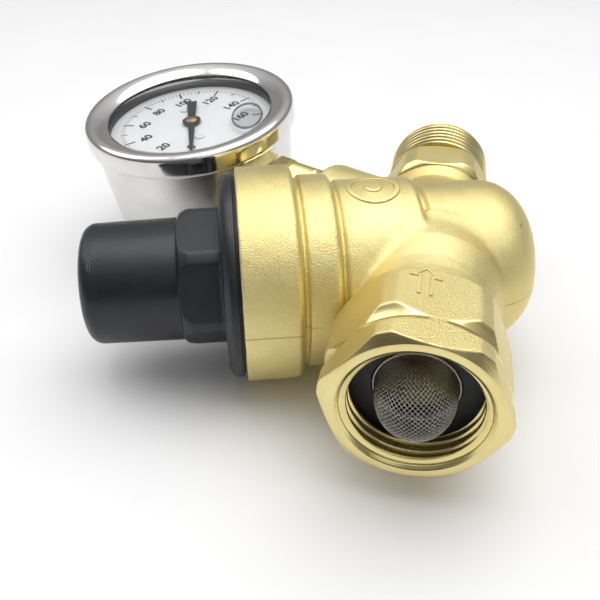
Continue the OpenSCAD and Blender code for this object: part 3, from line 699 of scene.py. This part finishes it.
# ---------------------------------------------------------------- inlet screen, woven from two sets of wires
def woven_dome():
    """Round wires that cross over and under, pressed into a blunt dome. The wires' inner sides are painted
    dark, as painted shade inside the dome.
    """
    pitch, wire, reach, rise, sides, blunt = 0.7, 0.068, 7.74, 11.28, 6, 0.77
    steps = np.linspace(0, 1, 400) ** 1.6 * math.pi / 2
    wide, tall = reach * np.sin(steps) ** blunt, 8.1 - rise * np.maximum(np.cos(steps), 0) ** blunt
    run = np.concatenate([[0], np.cumsum(np.hypot(np.diff(wide), np.diff(tall)))])
    lean = np.arctan2(-np.gradient(wide), np.gradient(tall))
    lean[0] = -math.pi / 2
    total = run[-1]

    def dome(flat, lift):
        far = np.minimum(np.hypot(flat[:, 0], flat[:, 1]), total)
        aim = flat / np.maximum(np.hypot(flat[:, 0], flat[:, 1]), 1e-9)[:, None]
        spot = np.column_stack([aim * np.interp(far, run, wide)[:, None], np.interp(far, run, tall)])
        tilt = np.interp(far, run, lean)
        out = np.column_stack([aim * np.cos(tilt)[:, None], np.sin(tilt)])
        return spot + out * lift[:, None], out

    points, faces, inner = [], [], []
    base = 0
    lines = int(total / pitch)
    for family in range(2):
        for k in range(-lines, lines + 1):
            across = k * pitch
            half = math.sqrt(max(total ** 2 - across ** 2, 0))
            if half < 1:
                continue
            along = np.arange(-half, half + 0.01, pitch / (5))
            flat = np.column_stack([along, np.full(len(along), across)] if family == 0
                                   else [np.full(len(along), across), along])
            flat = flat @ np.array([[0.766, 0.643], [-0.643, 0.766]])
            sign = 1 if family == 0 else -1
            wave = sign * wire * 0.85 * np.cos(math.pi * (along / pitch + k))
            spine, normal = dome(flat, wave)
            forward = np.gradient(spine, axis=0)
            forward /= np.linalg.norm(forward, axis=1)[:, None]
            side = np.cross(forward, normal)
            side /= np.linalg.norm(side, axis=1)[:, None]
            lift = np.cross(side, forward)
            n = len(along)
            for s in range(sides):
                a = 2 * math.pi * s / sides
                points.append(spine + wire * (math.cos(a) * side + math.sin(a) * lift))
            i, s = np.meshgrid(np.arange(n - 1), np.arange(sides), indexing="ij")
            nxt = (s + 1) % sides
            quads = np.stack([s * n + i, nxt * n + i, nxt * n + i + 1, s * n + i + 1], -1)
            faces.append((base + quads).reshape(-1, 4))
            # The inner half of each wire's sides takes the painted-shade material.
            inner.append((s >= sides // 2).ravel().astype(int))
            base += n * sides
    return add_mesh("screen_weave", np.concatenate(points), np.concatenate(faces), [WIRE, WIRE_PAINTED_SHADE],
                    "body", ON_FLOW, np.concatenate(inner), sharp=0)


weave = woven_dome()
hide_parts("screen_mesh")

RIM = soften([(7.9, 7.4), (7.95, 7.15), (8.15, 7.12), (8.4, 7.35), (8.4, 8.15), (7.9, 8.15)], 0.08, 3)
rim_piece = lathe("screen_ring", RIM, ON_FLOW, WIRE, "body", 192)
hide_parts("screen_rim")

WASHER = soften([(8.45, 7.6), (8.45, 7.5), (8.6, 7.42), (13.2, 7.42), (13.5, 7.7), (13.5, 10.65),
                 (7.45, 10.65), (7.45, 8.3), (8.45, 8.3)],
                [0, 0.1, 0.1, 0.25, 0.25, 0.1, 0.1, 0.1, 0], 3)
washer = lathe("washer_face", WASHER, ON_FLOW, RUBBER, "body", 192)
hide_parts("inlet_washer")


# ---------------------------------------------------------------- gauge
BEZEL = soften([(28.05, 12.6), (28.6, 12.4), (29.15, 12.8), (29.4, 13.5), (29.4, 17.0), (29.2, 17.9),
                (28.6, 18.5), (27.7, 18.75), (26.6, 18.7), (25.4, 18.35), (24.2, 17.8), (23.2, 17.15),
                (22.95, 16.85), (23.1, 16.72), (26.4, 16.8), (28.05, 17.2), (28.05, 12.6)],
                [0, 0.3, 0.3, 0.5, 0.6, 0.6, 0.6, 0.6, 0.6, 0.6, 0.6, 0.3, 0.1, 0.05, 0.2, 0.2, 0], 4)
bezel = lathe("bezel_ring", BEZEL[:-1], IN_GAUGE, POLISHED, "body", 256, 30)
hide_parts("gauge_bezel")


def gauge_case():
    profile = soften([(0.01, -11), (24.4, -11), (25.9, -10.6), (26.4, -9.3), (27.9, 13.4), (27.9, 14.6),
                      (27.2, 14.6), (27.2, 13.4), (25.6, -9.2), (24.2, -10.1), (0.01, -10.1)],
                      [0, 0, 1.0, 0.8, 0.6, 0.2, 0.2, 0.3, 0.5, 0.5, 0], 4)
    points, faces = spun(profile, 256)
    case = add_mesh("case_shell", points, faces, SATIN, "body", IN_GAUGE, sharp=0)
    cutters = [box_mesh((-5.6, -32, -5.6), (5.6, -20, 5.6)),
               box_mesh((-0.9, -19.3, -12), (0.9, -17.5, -9), (-3.2, 0, 0)),
               box_mesh((-0.9, -19.3, -12), (0.9, -17.5, -9), (3.2, 0, 0))]
    for cutter in cutters:
        cut = case.modifiers.new("cut", "BOOLEAN")
        cut.object, cut.operation, cut.solver = cutter, "DIFFERENCE", "EXACT"
    mesh = bpy.data.meshes.new_from_object(case.evaluated_get(bpy.context.evaluated_depsgraph_get()))
    case.modifiers.clear()
    case.data = mesh
    mesh.polygons.foreach_set("use_smooth", np.ones(len(mesh.polygons), bool))
    mesh.set_sharp_from_angle(angle=math.radians(35))
    for cutter in cutters:
        bpy.data.objects.remove(cutter)
    return case


def box_mesh(low, high, shift=(0, 0, 0)):
    """A plain box in the gauge's frame, used to cut with."""
    corners = [(x + shift[0], y + shift[1], z + shift[2]) for x in (low[0], high[0])
               for y in (low[1], high[1]) for z in (low[2], high[2])]
    spots = [IN_GAUGE @ Vector(c) * MM for c in corners]
    mesh = bpy.data.meshes.new("cutter")
    mesh.from_pydata(spots, [],
                     [(0, 1, 3, 2), (4, 6, 7, 5), (0, 4, 5, 1), (2, 3, 7, 6), (0, 2, 6, 4), (1, 5, 7, 3)])
    cutter = bpy.data.objects.new("cutter", mesh)
    bpy.context.scene.collection.objects.link(cutter)
    return cutter


case = gauge_case()
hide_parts("gauge_case")

DIAL = [(1.6, 12.6), (25.2, 12.6), (25.2, 13.1), (1.6, 13.1)]
dial = lathe("dial_face", DIAL, IN_GAUGE, WHITE, "body", 192, 30)
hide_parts("gauge_dial")

SEAL = soften([(23.2, 13.14), (27.1, 13.14), (27.1, 14.84), (23.2, 14.84), (23.05, 14.0)],
              [0, 0.1, 0.1, 0.25, 0.1], 3)
seal = lathe("window_seal", SEAL, IN_GAUGE, RUBBER, "body", 192, 30)
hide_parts("window_gasket")

PANE = soften([(0.01, 14.9), (26.8, 14.9), (26.8, 16.65), (0.01, 16.65)], [0, 0.15, 0.15, 0], 2)
pane = lathe("window_pane", PANE, IN_GAUGE, GLASS, "body", 192, 30)
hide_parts("gauge_window")

HUB = [(0.01, 14.1), (1.9, 14.1), (1.85, 14.25), (1.6, 14.48), (1.2, 14.68), (0.7, 14.8), (0.01, 14.84)]
hub = lathe("hub_cap", HUB, IN_GAUGE, BRONZE, "pointer", 64, 50)
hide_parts("pointer_hub")


# ---------------------------------------------------------------- print on the dial
DIAL_TOP = 13.1
ZERO, SWEEP, FULL = -135.0, 270.0, 160.0


def dial_angle(value):
    """The pointer's direction in degrees at that value, clockwise from the zero."""
    return ZERO - SWEEP * value / FULL


def ticks(name, values, inner, outer, width, material):
    points, faces = [], []
    for value in values:
        a = math.radians(dial_angle(value))
        u, v = Vector((math.cos(a), math.sin(a))), Vector((-math.sin(a), math.cos(a)))
        corners = [u * inner - v * width / 2, u * outer - v * width / 2, u * outer + v * width / 2,
                   u * inner + v * width / 2]
        base = len(points)
        points += [(c.x, c.y, z) for z in (DIAL_TOP - 0.02, DIAL_TOP + 0.02) for c in corners]
        faces += [[base + i for i in f]
                  for f in ((3, 2, 1, 0), (4, 5, 6, 7), (0, 1, 5, 4), (1, 2, 6, 5), (2, 3, 7, 6),
                            (3, 0, 4, 7))]
    piece = add_mesh(name, points, faces, material, "body", IN_GAUGE, sharp=30)
    return piece


def numeral(value, size, radius):
    """The value's digits, upright on the dial, with the stem at its foot."""
    text = bpy.data.curves.new(f"numeral_{value}", "FONT")
    text.body = str(value)
    text.size = size
    text.align_x, text.align_y = "CENTER", "CENTER"
    text.extrude = 0.02
    text.offset = 0.13
    holder = bpy.data.objects.new(text.name, text)
    bpy.context.scene.collection.objects.link(holder)
    mesh = bpy.data.meshes.new_from_object(holder.evaluated_get(bpy.context.evaluated_depsgraph_get()))
    bpy.data.objects.remove(holder)
    a = math.radians(dial_angle(value))
    shift = np.array([radius * math.cos(a), radius * math.sin(a), DIAL_TOP])
    points = np.array([v.co for v in mesh.vertices]) + shift
    faces = [list(p.vertices) for p in mesh.polygons]
    bpy.data.meshes.remove(mesh)
    piece = add_mesh(f"numeral_{value}", points, faces, INK, "body", IN_GAUGE, sharp=30)


for value in range(0, 161, 20):
    numeral(value, 3.6, 13.9)
ticks("ticks_major", range(0, 161, 20), 17.2, 20.4, 0.55, INK)
ticks("ticks_middle", range(10, 160, 20), 18.4, 20.4, 0.36, INK)
ticks("ticks_fine", [v for v in range(2, 160, 2) if v % 10], 19.2, 20.4, 0.2, GREY_INK)


def bubble():
    """The air left in the filling liquid: an oval lens under the window, with a dark edge of painted shade: a
    grey-tinted clear ring stands in for the light the curved edge bends away.
    """
    oval = turn("Z", 41) @ Matrix.Diagonal((1.75, 1.0, 1.0, 1.0))
    at = IN_GAUGE @ Matrix.Translation((9.2, -13.2, 0)) @ oval
    lens = [(0.01, 14.3), (2.2, 14.32), (3.2, 14.4), (3.7, 14.5), (3.95, 14.6), (3.95, 14.78), (3.7, 14.86),
            (0.01, 14.86)]
    # The edge ring takes the grey-tinted painted-shade material for the bubble's dark outline.
    edge = [(3.97, 14.45), (4.12, 14.4), (4.36, 14.42), (4.45, 14.6), (4.36, 14.82), (4.12, 14.86),
            (3.97, 14.82)]
    for name, profile, material in (("air_bubble", lens, LIQUID), ("bubble_edge_painted_shade", edge, MENISCUS_PAINTED_SHADE)):
        lathe(name, profile, at, material, "body", 96, 60)


bubble()


# ---------------------------------------------------------------- gauge connection
def adapter():
    flange = soften([(2.4, 28.5), (6.5, 28.5), (6.5, 40), (8.4, 40), (8.4, 42), (9.6, 42), (10.6, 43.2),
                     (10.6, 50.4), (9.6, 51.6), (5.2, 51.6), (5.2, 43), (2.4, 43)],
                     [0, 0.3, 0.1, 0.2, 0.1, 0.3, 0.4, 0.4, 0.3, 0.2, 0, 0], 3)
    profile = resample(flange, 0.25)

    def shape(r, z, angles):
        if r > 8.5 and 41.9 < z < 51.7:
            return smooth_min(hexagon_radius(angles, FITTING_FLATS, 0), np.full(len(angles), r), 0.25)
        return np.full(len(angles), r)

    points, faces = spun(profile, 240, shape)
    return add_mesh("gauge_fitting", points, faces, TURNED_STEM, "body", ON_STEM, sharp=45)


fitting = adapter()
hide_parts("gauge_adapter")


# ---------------------------------------------------------------- range spring
def range_spring():
    """Two halves that meet at the middle turn; both stay where they are built, riding on no piece."""
    low, high, coil, wire = -60.55, -37.65, 8.4, 1.13
    middle = (low + high) / 2
    turns, steps, sides = 6, 120, 16
    tube = np.arange(sides) * 2 * math.pi / sides
    halves = (("range_spring_outer", low, low, middle, "button"),
              ("range_spring_inner", high, middle, high, "piston"))
    for name, outer_end, start, stop, body in halves:
        height = np.linspace(start, stop, steps + 1)
        turned = (height - low) / (high - low) * turns * 2 * math.pi
        reach = coil + wire * np.cos(tube)[None, :]
        points = np.stack([reach * np.cos(turned)[:, None], reach * np.sin(turned)[:, None],
                           height[:, None] + wire * np.sin(tube)[None, :]], -1)
        faces = [(i * sides + j, (i + 1) * sides + j, (i + 1) * sides + (j + 1) % sides,
                  i * sides + (j + 1) % sides)
                 for i in range(steps) for j in range(sides)]
        faces += [tuple(range(sides)), tuple(steps * sides + j for j in reversed(range(sides)))]
        half = add_mesh(name, points, faces, SPRING, None, ON_AXIS)
        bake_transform(half)
        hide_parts("range_spring")


range_spring()


# ---------------------------------------------------------------- finishes on the CAD nodes that show
FINISHES = {
    "gauge_stem": TURNED_STEM, "bonnet_gasket": RUBBER, "adjusting_screw": TURNED_AXIS,
    "spring_button": SHEET, "piston": TURNED_AXIS, "piston_oring": RUBBER, "seat_sleeve": TURNED_AXIS,
    "sleeve_oring": RUBBER, "seat_disc": RUBBER, "disc_holder": TURNED_AXIS, "disc_nut": SHEET,
    "adapter_oring": RUBBER, "case_gasket": RUBBER, "case_screws": SATIN, "fill_plug": RUBBER,
    "dial_screws": WHITE, "movement_plates": TURNED_GAUGE, "movement_pillars": TURNED_GAUGE,
    "bourdon_tube": TURNED_GAUGE, "tube_tip": TURNED_GAUGE, "gauge_link": TURNED_GAUGE,
    "sector_gear": TURNED_GAUGE, "pointer_shaft": SATIN, "hairspring": BRONZE, "gauge_pointer": POINTER,
}
for node, material in FINISHES.items():
    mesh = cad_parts[node].data
    mesh.materials.clear()
    mesh.materials.append(material)
    if "custom_normal" in mesh.attributes:
        mesh.attributes.remove(mesh.attributes["custom_normal"])
    mesh.polygons.foreach_set("use_smooth", np.ones(len(mesh.polygons), bool))
    mesh.set_sharp_from_angle(angle=math.radians(25))


# ---------------------------------------------------------------- floor and light
def stage():
    floor_z, reach = cad_box[0][2] - 0.00005, 3
    corners = [(x * reach, y * reach, floor_z) for x, y in ((-1, -1), (1, -1), (1, 1), (-1, 1))]
    mesh = bpy.data.meshes.new("floor")
    mesh.from_pydata(corners, [], [(0, 1, 2, 3)])
    s = Shader("floor_pale")
    tint = s.ramp(s.noise(30, 2.0), (0.3, (0.86, 0.86, 0.865)), (0.7, (0.88, 0.88, 0.88)))
    mesh.materials.append(s.finish(tint, 0.6, None))
    floor = bpy.data.objects.new("floor", mesh)
    bpy.context.scene.collection.objects.link(floor)
    world = bpy.data.worlds.new("studio")
    bpy.context.scene.world = world
    world.use_nodes = True
    tree = world.node_tree
    back = tree.nodes["Background"]
    place = tree.nodes.new("ShaderNodeTexCoord").outputs["Generated"]
    parts = tree.nodes.new("ShaderNodeSeparateXYZ")
    tree.links.new(place, parts.inputs[0])
    ramp = tree.nodes.new("ShaderNodeValToRGB")
    tree.links.new(parts.outputs["Z"], ramp.inputs["Fac"])
    stops = ((0.0, 0.3), (0.12, 0.3), (0.4, 0.3), (0.7, 0.62), (1.0, 1.05))
    while len(ramp.color_ramp.elements) < len(stops):
        ramp.color_ramp.elements.new(1.0)
    for element, (at, level) in zip(ramp.color_ramp.elements, stops):
        element.position = at
        element.color = (level, level, level * 1.01, 1)
    tree.links.new(ramp.outputs["Color"], back.inputs["Color"])
    near = tree.nodes.new("ShaderNodeMapRange")
    for key, value in (("From Min", -0.95), ("From Max", -0.1), ("To Min", 0.35), ("To Max", 1.05)):
        near.inputs[key].default_value = value
    tree.links.new(parts.outputs["Y"], near.inputs["Value"])
    tree.links.new(near.outputs["Result"], back.inputs["Strength"])
    lamps = (("key", (0.1, 0.14, 0.65), 0.8, 3.0), ("fill", (-0.5, 0.1, 0.5), 0.5, 0.9),
             ("front", (0.35, -0.55, 0.5), 0.5, 0.3))
    target = Vector((-0.02, 0.05, 0.0))
    for name, place, size, power in lamps:
        light = bpy.data.lights.new(name, "AREA")
        light.shape, light.size, light.energy = "DISK", size, power
        lamp = bpy.data.objects.new(name, light)
        bpy.context.scene.collection.objects.link(lamp)
        lamp.location = place
        lamp.rotation_euler = (target - Vector(place)).to_track_quat("-Z", "Y").to_euler()
    bpy.context.scene.view_settings.view_transform = "Standard"


stage()
